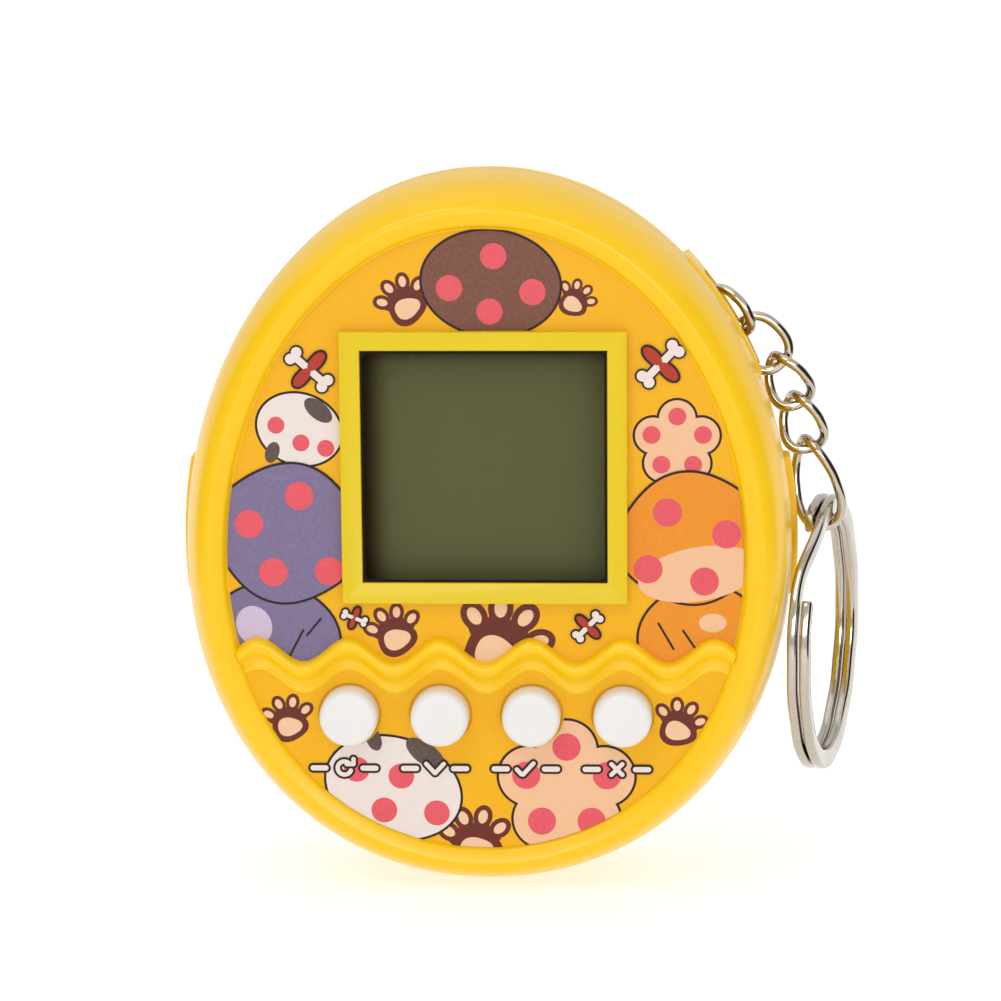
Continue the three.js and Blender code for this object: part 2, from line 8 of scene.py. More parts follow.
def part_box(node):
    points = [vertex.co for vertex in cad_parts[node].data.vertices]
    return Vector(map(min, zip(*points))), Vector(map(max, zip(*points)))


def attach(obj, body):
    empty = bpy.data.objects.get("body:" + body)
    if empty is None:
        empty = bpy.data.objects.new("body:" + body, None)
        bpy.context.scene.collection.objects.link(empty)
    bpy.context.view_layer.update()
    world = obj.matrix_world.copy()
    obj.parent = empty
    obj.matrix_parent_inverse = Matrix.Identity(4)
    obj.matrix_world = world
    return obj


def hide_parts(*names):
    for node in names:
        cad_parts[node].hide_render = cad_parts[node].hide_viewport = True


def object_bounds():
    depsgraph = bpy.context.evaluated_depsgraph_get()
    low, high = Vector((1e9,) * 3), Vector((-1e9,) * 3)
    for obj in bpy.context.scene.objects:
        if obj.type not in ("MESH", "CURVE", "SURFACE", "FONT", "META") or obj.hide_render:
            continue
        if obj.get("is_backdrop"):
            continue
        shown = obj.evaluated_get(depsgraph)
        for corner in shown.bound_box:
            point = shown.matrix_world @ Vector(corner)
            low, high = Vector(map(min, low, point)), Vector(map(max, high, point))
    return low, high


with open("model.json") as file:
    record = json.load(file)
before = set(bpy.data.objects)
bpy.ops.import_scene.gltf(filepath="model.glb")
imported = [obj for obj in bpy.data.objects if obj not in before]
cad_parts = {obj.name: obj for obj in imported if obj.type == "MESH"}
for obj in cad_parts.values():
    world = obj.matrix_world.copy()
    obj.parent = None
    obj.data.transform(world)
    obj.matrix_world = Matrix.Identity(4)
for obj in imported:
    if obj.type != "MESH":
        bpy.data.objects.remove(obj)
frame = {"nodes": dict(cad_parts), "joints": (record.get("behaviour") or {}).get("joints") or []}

cad_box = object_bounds()
MM = 0.001
scene = bpy.context.scene


# ---- places from the frame
def box_mm(node):
    low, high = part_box(node)
    return low / MM, high / MM


def middle_mm(node):
    low, high = box_mm(node)
    return (low + high) / 2


def joint_mm(name):
    joint = next(j for j in frame["joints"] if j["name"] == name)
    return Vector(joint["pos_m"]) / MM


# Case: the outline is an egg, a little narrower at the top.
FRONT_LOW, FRONT_HIGH = box_mm("front_case")
HALF_WIDTH = FRONT_HIGH.x / 1.0013  # the widest place is a little below the middle
HALF_HEIGHT = FRONT_HIGH.z
EGG_TAPER = 0.052
EGG_SQUARENESS = 2.06
SEAM_Y = FRONT_HIGH.y + 0.05
CREST_Y = FRONT_LOW.y
PANEL_Y = CREST_Y + 0.9
LOWER_STEP = 0.25  # the face below the ridge stands this much higher
RECESS_INSET = 3.6
BACK_WALL = 1.5

# Screen: the window leaves a lip over the edge of the lens.
LENS_LOW, LENS_HIGH = box_mm("display_lens")
LENS_LIP = 0.95
WINDOW_X, _, WINDOW_Z = middle_mm("display_lens")
WINDOW_WIDTH = LENS_HIGH.x - LENS_LOW.x - 2 * LENS_LIP
WINDOW_HEIGHT = LENS_HIGH.z - LENS_LOW.z - 2 * LENS_LIP
FRAME_WIDTH = 1.45

# Buttons, and the scalloped ridge above them.
BUTTON_NAMES = ["reset", "select", "decide", "cancel"]
BUTTON_X = [middle_mm(f"{name}_button").x for name in BUTTON_NAMES]
BUTTON_Z = middle_mm("reset_button").z
BUTTON_PITCH = BUTTON_X[1] - BUTTON_X[0]
BUTTON_RADIUS = 2.13
BUTTON_HOLE_RADIUS = 2.3
RIDGE_CREST_Z = BUTTON_Z + 5.75
RIDGE_DIP = 1.8
RIDGE_WIDTH = 2.4

# Back.
DOOR_LOW, DOOR_HIGH = box_mm("battery_door")
DOOR_MIDDLE = middle_mm("battery_door")
DOOR_SCREW = middle_mm("battery_door_screw")
CASE_SCREWS = [middle_mm(f"case_screw_{i}") for i in range(1, 5)]
BUZZER = middle_mm("buzzer_disc")

# Chain and ring.
BAR = joint_mm("link_1_swing")
WIRE = 0.36
LINK_GAP = 0.08


# ---- camera
def add_camera():
    azimuth, elevation, roll = (math.radians(a) for a in (3.014, 10.813, 0.479))
    distance = 0.26
    target = Vector((0.806, SEAM_Y, 1.698)) * MM
    away = Vector((
        math.sin(azimuth) * math.cos(elevation),
        -math.cos(azimuth) * math.cos(elevation),
        math.sin(elevation),
    ))
    camera = bpy.data.objects.new("camera", bpy.data.cameras.new("camera"))
    scene.collection.objects.link(camera)
    camera.location = target + away * distance
    camera.rotation_mode = "QUATERNION"
    camera.rotation_quaternion = (
        away.to_track_quat("Z", "Y") @ Matrix.Rotation(-roll, 3, "Z").to_quaternion()
    )
    camera.data.sensor_width = 36
    camera.data.lens = 125.1
    camera.data.clip_start = 0.01
    scene.camera = camera


add_camera()


# ---- outlines, as lists of (x, z)
def signed_power(value, power):
    return math.copysign(abs(value) ** power, value)


def egg(inset, segments=256):
    power = 2 / EGG_SQUARENESS
    points = []
    for i in range(segments):
        angle = 2 * math.pi * i / segments
        across = signed_power(math.sin(angle), power) * (1 - EGG_TAPER * math.cos(angle))
        along = signed_power(math.cos(angle), power)
        points.append(((HALF_WIDTH - inset) * across, (HALF_HEIGHT - inset) * along))
    return points


def circle(x, z, radius, segments=48):
    turns = [2 * math.pi * i / segments for i in range(segments)]
    return [(x + radius * math.sin(t), z + radius * math.cos(t)) for t in turns]


def rectangle(x, z, width, height, radius=0.0, steps=6):
    """Corners are rounded by radius, or sharp when it is 0."""
    points = []
    for quarter in range(4):
        middle_angle = math.pi / 4 + quarter * math.pi / 2
        corner_x = x + math.copysign(width / 2 - radius, math.cos(middle_angle))
        corner_z = z + math.copysign(height / 2 - radius, math.sin(middle_angle))
        for i in range(steps + 1 if radius else 1):
            angle = quarter * math.pi / 2 + (i / steps) * math.pi / 2
            points.append((corner_x + radius * math.cos(angle), corner_z + radius * math.sin(angle)))
    return points


def turned_about(x, z, turn, size=1.0):
    """A function that gives the place of (across, along) on axes turned anticlockwise by degrees."""
    cosine = math.cos(math.radians(turn))
    sine = math.sin(math.radians(turn))

    def place(across, along):
        return (x + size * (across * cosine - along * sine), z + size * (across * sine + along * cosine))

    return place


def oval(x, z, half_width, half_height, turn=0.0, bumps=0, depth=0.0, steps=96):
    """An oval, optionally with soft bumps round its edge, turned anticlockwise by degrees."""
    place = turned_about(x, z, turn)
    points = []
    for i in range(steps):
        angle = 2 * math.pi * i / steps
        reach = 1 + depth * math.cos(bumps * angle)
        points.append(place(half_width * reach * math.cos(angle), half_height * reach * math.sin(angle)))
    return points


def bar(x, z, length, width, turn=0.0, steps=8):
    """A straight stroke with round ends."""
    place = turned_about(x, z, turn)
    points = []
    for end in (1, -1):
        for i in range(steps + 1):
            angle = math.pi * i / steps - math.pi / 2
            across = length / 2 + width / 2 * math.cos(angle)
            points.append(place(end * across, end * width / 2 * math.sin(angle)))
    return points


# ---- meshes
def at_depth(outline, y):
    return [(x, y, z) for x, z in outline]


def mesh_object(name, points, faces):
    mesh = bpy.data.meshes.new(name)
    mesh.from_pydata([Vector(p) * MM for p in points], [], faces)
    mesh.update()
    made = bpy.data.objects.new(name, mesh)
    scene.collection.objects.link(made)
    return made


def volume_sign(points, faces):
    total = 0.0
    for face in faces:
        a = Vector(points[face[0]])
        for i in range(1, len(face) - 1):
            total += a.dot(Vector(points[face[i]]).cross(Vector(points[face[i + 1]])))
    return total


def loft(name, rings, loop=False):
    """A closed body through rings of points. The ends are capped, or meet when loop is set."""
    count = len(rings[0])
    points = [p for ring in rings for p in ring]
    faces = []
    for r in range(len(rings) if loop else len(rings) - 1):
        here = r * count
        there = ((r + 1) % len(rings)) * count
        for i in range(count):
            j = (i + 1) % count
            faces.append((here + i, here + j, there + j, there + i))
    if not loop:
        faces.append(tuple(reversed(range(count))))
        faces.append(tuple(range(len(points) - count, len(points))))
    if volume_sign(points, faces) < 0:
        faces = [tuple(reversed(face)) for face in faces]
    return mesh_object(name, points, faces)


def plate(name, outline, back, front):
    return loft(name, [at_depth(outline, back), at_depth(outline, front)])


def egg_solid(name, profile, segments=256):
    """Egg-shaped rings through profile points (inset, y)."""
    return loft(name, [at_depth(egg(inset, segments), y) for inset, y in profile])


def rod(name, x, z, radius, back, front, segments=64):
    return plate(name, circle(x, z, radius, segments), back, front)


def turned(name, x, z, profile, segments=64):
    """A lathe about a line along Y, through profile points (radius, y)."""
    return loft(name, [at_depth(circle(x, z, radius, segments), y) for radius, y in profile])


def block(name, x, z, width, height, back, front):
    return plate(name, rectangle(x, z, width, height), back, front)


def corner_arc(start, end, power=2.0, steps=12):
    """A quarter of a superellipse from start, where it runs along Y, to end, where it runs across."""
    points = []
    for i in range(steps + 1):
        angle = (math.pi / 2) * i / steps
        across = 1 - abs(math.cos(angle)) ** (2 / power)
        along = math.sin(angle) ** (2 / power)
        points.append((start[0] + (end[0] - start[0]) * across, start[1] + (end[1] - start[1]) * along))
    return points


def duplicate(solid):
    copy = solid.copy()
    copy.data = solid.data.copy()
    scene.collection.objects.link(copy)
    return copy


def combined(made, operation, others):
    """The first solid joined with, cut by or kept within the others, which are used up."""
    for other in others:
        modifier = made.modifiers.new("combine", "BOOLEAN")
        modifier.operation = operation
        modifier.solver = "MANIFOLD"
        modifier.object = other
    graph = bpy.context.evaluated_depsgraph_get()
    mesh = bpy.data.meshes.new_from_object(made.evaluated_get(graph))
    made.modifiers.clear()
    made.data = mesh
    for other in others:
        bpy.data.objects.remove(other)
    return made


def join(made, *others):
    return combined(made, "UNION", others)


def cut(made, *others):
    return combined(made, "DIFFERENCE", others)


def keep_within(made, other):
    return combined(made, "INTERSECT", [other])


def sweep(name, path, section, across, chamfer=0.0):
    """A section of (u, v) points carried along an open path. across is u's direction at the start."""
    path = [Vector(p) for p in path]
    tangents = []
    for i in range(len(path)):
        step = path[min(i + 1, len(path) - 1)] - path[max(i - 1, 0)]
        tangents.append(step.normalized())
    u_axis = Vector(across)
    u_axis = (u_axis - tangents[0] * u_axis.dot(tangents[0])).normalized()
    end_scale = 1 - chamfer / max(math.hypot(u, v) for u, v in section)
    rings = []
    for i, (place, tangent) in enumerate(zip(path, tangents)):
        if i:
            u_axis = tangents[i - 1].rotation_difference(tangent) @ u_axis
        v_axis = tangent.cross(u_axis)
        stations = [(0.0, 1.0)]
        if chamfer and i == 0:
            stations = [(-chamfer, end_scale)] + stations
        if chamfer and i == len(path) - 1:
            stations = stations + [(chamfer, end_scale)]
        for along, scale in stations:
            middle = place + tangent * along
            rings.append([middle + (u_axis * u + v_axis * v) * scale for u, v in section])
    return loft(name, rings)


def finished(made, body, slot, materials, *nodes, smooth=32.0):
    """Puts a piece on its body with its material, in place of the CAD nodes that it stands for."""
    if not isinstance(materials, (list, tuple)):
        materials = [materials]
    if len(materials) == 1:
        made.data.materials.clear()
        for polygon in made.data.polygons:
            polygon.material_index = 0
    for material in materials:
        if material.name not in made.data.materials:
            made.data.materials.append(material)
    made.data.shade_smooth()
    made.data.set_sharp_from_angle(angle=math.radians(smooth))
    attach(made, body)
    if nodes:
        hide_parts(*nodes)
    return made


# ---- materials
def linear(colour):
    """An sRGB colour of three bytes as linear values."""
    values = [c / 255 for c in colour]
    return [v / 12.92 if v <= 0.04045 else ((v + 0.055) / 1.055) ** 2.4 for v in values] + [1.0]


def colour_mix(tree, factor, one, other):
    """A node that goes from one linear colour to the other as the factor goes from 0 to 1."""
    mix = tree.nodes.new("ShaderNodeMix")
    mix.data_type = "RGBA"
    mix.inputs["A"].default_value = one
    mix.inputs["B"].default_value = other
    tree.links.new(factor, mix.inputs["Factor"])
    return mix


def surface(name, colour, other, roughness, metallic=0.0, scale=60.0, grain=0.0, grain_scale=900.0,
            coat=0.0, detail=3.0, rough_spread=0.06, specular=0.5):
    """A finish whose colour drifts between two close shades, with uneven gloss and a fine grain.

    scale and grain_scale are in waves per ten centimetres.
    """
    material = bpy.data.materials.new(name)
    material.use_nodes = True
    nodes = material.node_tree.nodes
    links = material.node_tree.links
    shader = nodes["Principled BSDF"]
    shader.inputs["Metallic"].default_value = metallic
    shader.inputs["Coat Weight"].default_value = coat
    shader.inputs["Coat Roughness"].default_value = 0.12
    shader.inputs["Specular IOR Level"].default_value = specular
    place = nodes.new("ShaderNodeTexCoord")
    noise = nodes.new("ShaderNodeTexNoise")
    noise.inputs["Scale"].default_value = scale * 10
    noise.inputs["Detail"].default_value = detail
    links.new(place.outputs["Object"], noise.inputs["Vector"])
    mix = colour_mix(material.node_tree, noise.outputs["Fac"], linear(colour), linear(other))
    links.new(mix.outputs["Result"], shader.inputs["Base Color"])
    gloss = nodes.new("ShaderNodeMapRange")
    gloss.inputs["To Min"].default_value = max(roughness - rough_spread, 0.02)
    gloss.inputs["To Max"].default_value = roughness + rough_spread
    links.new(noise.outputs["Fac"], gloss.inputs["Value"])
    links.new(gloss.outputs["Result"], shader.inputs["Roughness"])
    if grain:
        fine = nodes.new("ShaderNodeTexNoise")
        fine.inputs["Scale"].default_value = grain_scale * 10
        bump = nodes.new("ShaderNodeBump")
        bump.inputs["Strength"].default_value = grain
        bump.inputs["Distance"].default_value = 0.00002
        links.new(place.outputs["Object"], fine.inputs["Vector"])
        links.new(fine.outputs["Fac"], bump.inputs["Height"])
        links.new(bump.outputs["Normal"], shader.inputs["Normal"])
    return material


YELLOW = surface("case_yellow", (250, 198, 4), (252, 203, 10), 0.26, scale=20, grain=0.12, specular=0.35)
FRAME_YELLOW = surface("frame_yellow", (228, 198, 8), (234, 204, 14), 0.34, scale=20, grain=0.08,
                       specular=0.35)
WHITE = surface("button_white", (231, 227, 224), (236, 233, 230), 0.4, scale=30, grain=0.1)
NICKEL = surface("nickel", (186, 176, 160), (206, 196, 180), 0.11, metallic=1, scale=200, detail=6)
STEEL = surface("ring_steel", (182, 174, 162), (202, 194, 182), 0.12, metallic=1, scale=260, detail=6)
SCREW_STEEL = surface("screw_steel", (170, 170, 172), (196, 196, 198), 0.3, metallic=1, scale=150)
BLACK = surface("black_plastic", (24, 22, 22), (34, 32, 32), 0.55, scale=80, grain=0.2)
# painted shade: a near-black ring that stands in for the shaded gap between the window and the lens
GAP_SHADE_RING = surface("lens_border", (9, 5, 2), (14, 9, 5), 0.6, scale=80, specular=0.15)


def printed(name, colour, other):
    """Ink on the face: a fine grain in the colour itself."""
    return surface(name, colour, other, 0.45, scale=520, detail=1, grain=0.05, specular=0.25)


PRINT_GOLD = printed("print_gold", (237, 172, 4), (245, 183, 7))
INK_SHADES = {
    "dark": ((36, 16, 14), (52, 24, 20)),
    "brown": ((106, 64, 50), (134, 88, 70)),
    "paw": ((92, 32, 20), (116, 46, 32)),
    "cream": ((236, 190, 148), (242, 202, 164)),
    "peach": ((236, 184, 142), (242, 194, 154)),
    "white": ((228, 214, 206), (238, 226, 220)),
    "grey": ((66, 52, 48), (112, 94, 86)),
    "lavender": ((112, 100, 136), (134, 120, 154)),
    "pale": ((198, 178, 204), (210, 192, 212)),
    "orange": ((228, 136, 26), (238, 150, 36)),
    "pink": ((220, 76, 88), (234, 98, 108)),
    "red": ((168, 44, 28), (190, 60, 40)),
}
INK = {name: printed(f"ink_{name}", *shades) for name, shades in INK_SHADES.items()}


def clear_plastic():
    material = bpy.data.materials.new("lens_clear")
    material.use_nodes = True
    tree = material.node_tree
    shader = tree.nodes["Principled BSDF"]
    shader.inputs["Transmission Weight"].default_value = 1.0
    shader.inputs["IOR"].default_value = 1.04
    shader.inputs["Roughness"].default_value = 0.0
    noise = tree.nodes.new("ShaderNodeTexNoise")
    noise.inputs["Scale"].default_value = 40
    tint = colour_mix(tree, noise.outputs["Fac"], (0.92, 0.94, 0.9, 1), (0.94, 0.95, 0.92, 1))
    tree.links.new(tint.outputs["Result"], shader.inputs["Base Color"])
    return material


CLEAR = clear_plastic()


def lcd_film():
    """Olive film with painted shade: its colour darkens under the left and top edges of the window, where
    the frame would shade it.
    """
    material = surface("lcd_film", (99, 99, 67), (96, 96, 65), 0.5, scale=8, specular=0.02)
    nodes = material.node_tree.nodes
    links = material.node_tree.links
    shader = nodes["Principled BSDF"]
    film = shader.inputs["Base Color"].links[0].from_socket
    place = nodes.new("ShaderNodeTexCoord")
    split = nodes.new("ShaderNodeSeparateXYZ")
    links.new(place.outputs["Object"], split.inputs["Vector"])
    shades = []
    left = WINDOW_X - WINDOW_WIDTH / 2
    top = WINDOW_Z + WINDOW_HEIGHT / 2
    for axis, edge, inward in (("X", left - 0.2, 2.5), ("Z", top + 0.2, -1.7)):
        fade = nodes.new("ShaderNodeMapRange")
        fade.interpolation_type = "SMOOTHSTEP"
        fade.inputs["From Min"].default_value = edge * MM
        fade.inputs["From Max"].default_value = (edge + inward) * MM
        links.new(split.outputs[axis], fade.inputs["Value"])
        shades.append(fade)
    both = nodes.new("ShaderNodeMath")
    both.operation = "MULTIPLY"
    for i, fade in enumerate(shades):
        links.new(fade.outputs["Result"], both.inputs[i])
    # painted shade: a dark brown mixed into the film's colour towards the window's left and top edges
    shade = linear((46, 30, 8))
    mix = colour_mix(material.node_tree, both.outputs["Value"], shade, shade)
    links.new(film, mix.inputs["B"])
    links.new(mix.outputs["Result"], shader.inputs["Base Color"])
    return material


LCD_FILM = lcd_film()

# What the CAD nodes that are kept as they are look like, by record slot: two shades, roughness,
# scale and what else the finish has.
SLOT_FINISHES = {
    "lcd_glass": ((120, 128, 112), (132, 140, 124), 0.12, 10, {}),
    "reflector_grey": ((120, 122, 108), (136, 138, 124), 0.5, 40, {}),
    "zebra_rubber": ((58, 58, 60), (92, 90, 88), 0.7, 300, {}),
    "silicone": ((206, 206, 200), (218, 218, 212), 0.6, 40, {"grain": 0.15}),
    "carbon": ((22, 22, 22), (36, 36, 36), 0.8, 200, {}),
    "black_insulation": ((18, 18, 18), (30, 30, 30), 0.45, 90, {}),
    "red_insulation": ((176, 30, 26), (196, 42, 34), 0.45, 90, {}),
    "capacitor_tan": ((176, 136, 88), (192, 152, 104), 0.5, 90, {}),
    "brass": ((196, 160, 84), (214, 178, 100), 0.28, 120, {"metallic": 1}),
    "ceramic_white": ((232, 228, 214), (240, 236, 224), 0.5, 60, {}),
    "board_green": ((22, 88, 44), (34, 106, 56), 0.35, 70, {"coat": 0.3}),
    "steel": ((180, 180, 182), (200, 200, 202), 0.25, 120, {"metallic": 1}),
    "cell_steel": ((200, 200, 202), (216, 216, 218), 0.18, 90, {"metallic": 1}),
}
SLOT_LOOKS = {
    name: surface(name, one, other, roughness, scale=scale, **more)
    for name, (one, other, roughness, scale, more) in SLOT_FINISHES.items()
}
SLOT_LOOKS |= {
    "lcd_film": LCD_FILM,
    "black_plastic": BLACK,
    "nickel_plate": NICKEL,
    "case_yellow": YELLOW,
    "button_white": WHITE,
    "lens_clear": CLEAR,
}


# ---- front of the case
def scallop_z(x):
    """The ridge's top edge: a hump over each button and one more at each end."""
    return RIDGE_CREST_Z - RIDGE_DIP * math.sin(math.pi * (x - BUTTON_X[0]) / BUTTON_PITCH) ** 2


def ridge_and_lower_step():
    """The scalloped ridge, a shallow groove under it, and the slightly higher face below that."""
    # (distance below the top edge, height above the upper face), over the ridge from above
    section = [
        (0.0, -0.5), (0.0, 0.0), (0.05, 0.3), (0.13, 0.52), (0.25, 0.68), (0.42, 0.78), (0.62, 0.82),
        (0.85, 0.78), (1.05, 0.67), (1.22, 0.53), (1.38, 0.39), (1.52, 0.28), (1.66, 0.21),
        (1.79, 0.19), (1.91, 0.21), (2.03, 0.27), (2.14, 0.32), (2.27, 0.31),
        (RIDGE_WIDTH, LOWER_STEP),
    ]
    reach = HALF_WIDTH - RECESS_INSET + 1.0
    steps = 220
    bottom = -HALF_HEIGHT
    rings = []
    for i in range(steps + 1):
        x = -reach + 2 * reach * i / steps
        top = scallop_z(x)
        ring = [(x, PANEL_Y - height, top - below) for below, height in section]
        ring.append((x, PANEL_Y - LOWER_STEP, bottom))
        ring.append((x, PANEL_Y + 0.5, bottom))
        rings.append(ring)
    made = loft("ridge", rings)
    return keep_within(made, plate("recess", egg(RECESS_INSET - 0.25), PANEL_Y + 2, CREST_Y - 2))


def window_ring(out, y, radius=0.0):
    """The window's outline, moved outwards by out, at a depth."""
    width = WINDOW_WIDTH + 2 * out
    height = WINDOW_HEIGHT + 2 * out
    return at_depth(rectangle(WINDOW_X, WINDOW_Z, width, height, radius), y)


def window_frame():
    """The mitred frame round the screen, from its foot on the face over its edge to the window."""
    # (distance out from the window, height above the face)
    section = [
        (FRAME_WIDTH, -0.5), (FRAME_WIDTH, 0.66), (FRAME_WIDTH - 0.03, 0.74),
        (FRAME_WIDTH - 0.12, 0.78), (0.14, 0.22), (0.05, 0.19), (0.0, 0.12), (0.0, -0.5),
    ]
    rings = [window_ring(out, PANEL_Y - height) for out, height in section]
    return loft("window_frame", rings, loop=True)


SCREW_BOSS_RADIUS = 2.1
SCREW_PILOT_RADIUS = 1.02


def screw_rods(name, radius, back, front):
    return [rod(f"{name}_{i}", s.x, s.z, radius, back, front) for i, s in enumerate(CASE_SCREWS)]


def front_shell():
    shoulder_foot = (0.0, -8.5)
    shoulder_top = (2.35, CREST_Y)
    profile = [(0.2, SEAM_Y - 0.05), (0.06, SEAM_Y - 0.1), (0.0, SEAM_Y - 0.25)]
    profile += corner_arc(shoulder_foot, shoulder_top, power=1.85, steps=26)
    profile += [
        (2.48, CREST_Y + 0.02), (2.62, CREST_Y + 0.07), (3.2, CREST_Y + 0.3),
        (3.32, CREST_Y + 0.37), (3.39, CREST_Y + 0.47), (RECESS_INSET - 0.1, PANEL_Y - 0.15),
        (RECESS_INSET - 0.03, PANEL_Y - 0.04), (RECESS_INSET + 0.1, PANEL_Y),
    ]
    shell = egg_solid("front_shell", profile)
    panel_back = PANEL_Y + 1.4
    cavity = egg_solid("cavity", [(1.5, SEAM_Y + 1), (1.7, -10.6), (2.5, -12.4), (3.5, panel_back)])
    bosses = screw_rods("boss", SCREW_BOSS_RADIUS, SEAM_Y - 0.15, panel_back - 0.4)
    holes = screw_rods("pilot", SCREW_PILOT_RADIUS, SEAM_Y + 1, -12.0)
    shell = cut(shell, cavity)
    shell = join(shell, window_frame(), ridge_and_lower_step(), *bosses)
    opening = block("window", WINDOW_X, WINDOW_Z, WINDOW_WIDTH, WINDOW_HEIGHT, -12, -17)
    pocket = block("lens_pocket", WINDOW_X, WINDOW_Z, LENS_HIGH.x - LENS_LOW.x + 0.2,
                   LENS_HIGH.z - LENS_LOW.z + 0.2, -12, LENS_LOW.y - 0.06)
    # each button hole has a softly broken edge
    face = PANEL_Y - LOWER_STEP
    wells = [turned(f"well_{i}", x, BUTTON_Z, [
        (BUTTON_HOLE_RADIUS, -12),
        (BUTTON_HOLE_RADIUS, face + 0.1),
        (BUTTON_HOLE_RADIUS + 0.02, face + 0.03),
        (BUTTON_HOLE_RADIUS + 0.08, face - 0.01),
        (BUTTON_HOLE_RADIUS + 0.08, -17),
    ]) for i, x in enumerate(BUTTON_X)]
    return cut(shell, opening, pocket, *holes, *wells)


def on_window_frame(point):
    x, y, z = point / MM
    reach = FRAME_WIDTH + 0.01
    return (abs(x - WINDOW_X) < WINDOW_WIDTH / 2 + reach and abs(z - WINDOW_Z) < WINDOW_HEIGHT / 2 + reach
            and y < PANEL_Y + 0.01)


def build_front():
    """The front half. Its window frame is moulded with it, in a greener yellow."""
    shell = front_shell()
    shell.data.materials.clear()
    finished(shell, "case", "case_yellow", [YELLOW, FRAME_YELLOW], "front_case")
    points = shell.data.vertices
    for polygon in shell.data.polygons:
        framed = all(on_window_frame(points[v].co) for v in polygon.vertices)
        polygon.material_index = 1 if framed else 0


build_front()


# ---- back of the case
PAD_PROUD = 0.5
STRAP_PROUD = 0.2
NOTCH_RADIUS = 2.8
NOTCH_BACK_Y = -1.9
NOTCH_FRONT_Y = -5.5
NOTCH_MOUTH = BAR + Vector((5.0, 0, -5.6))


def edge_pad(name, proud, back, half_length, x, z, turn):
    """A raised pad on the edge of the back half, with chamfered sides."""
    front = SEAM_Y + 0.05
    pad = egg_solid(name, [
        (-proud + 0.3, front), (-proud + 0.08, front + 0.08), (-proud, front + 0.3),
        (-proud, back - 0.75), (-proud + 0.12, back - 0.35), (-proud + 0.6, back),
    ])
    # the cutter narrows through the pad's height, so that the pad's ends are chamfered
    rings = []
    for depth, half in ((-6, half_length + 0.2), (-0.1, half_length + 0.2), (0.6, half_length - 0.5),
                        (6, half_length - 0.5)):
        corners = [(depth, -12, -half), (depth, 4, -half), (depth, 4, half), (depth, -12, half)]
        rotation = Matrix.Rotation(math.radians(turn), 3, "Y")
        rings.append([rotation @ Vector(c) + Vector((x, 0, z)) for c in corners])
    return keep_within(pad, loft(f"{name}_cutter", rings))


def notch_outline(radius, steps=24):
    """The strap notch: a long hole with round ends, from the bar down along the edge."""
    heading = math.atan2(NOTCH_MOUTH.z - BAR.z, NOTCH_MOUTH.x - BAR.x)
    points = []
    for centre, first in ((BAR, heading + math.pi / 2), (NOTCH_MOUTH, heading - math.pi / 2)):
        for i in range(steps + 1):
            angle = first + math.pi * i / steps
            points.append((centre.x + radius * math.cos(angle), centre.z + radius * math.sin(angle)))
    return points


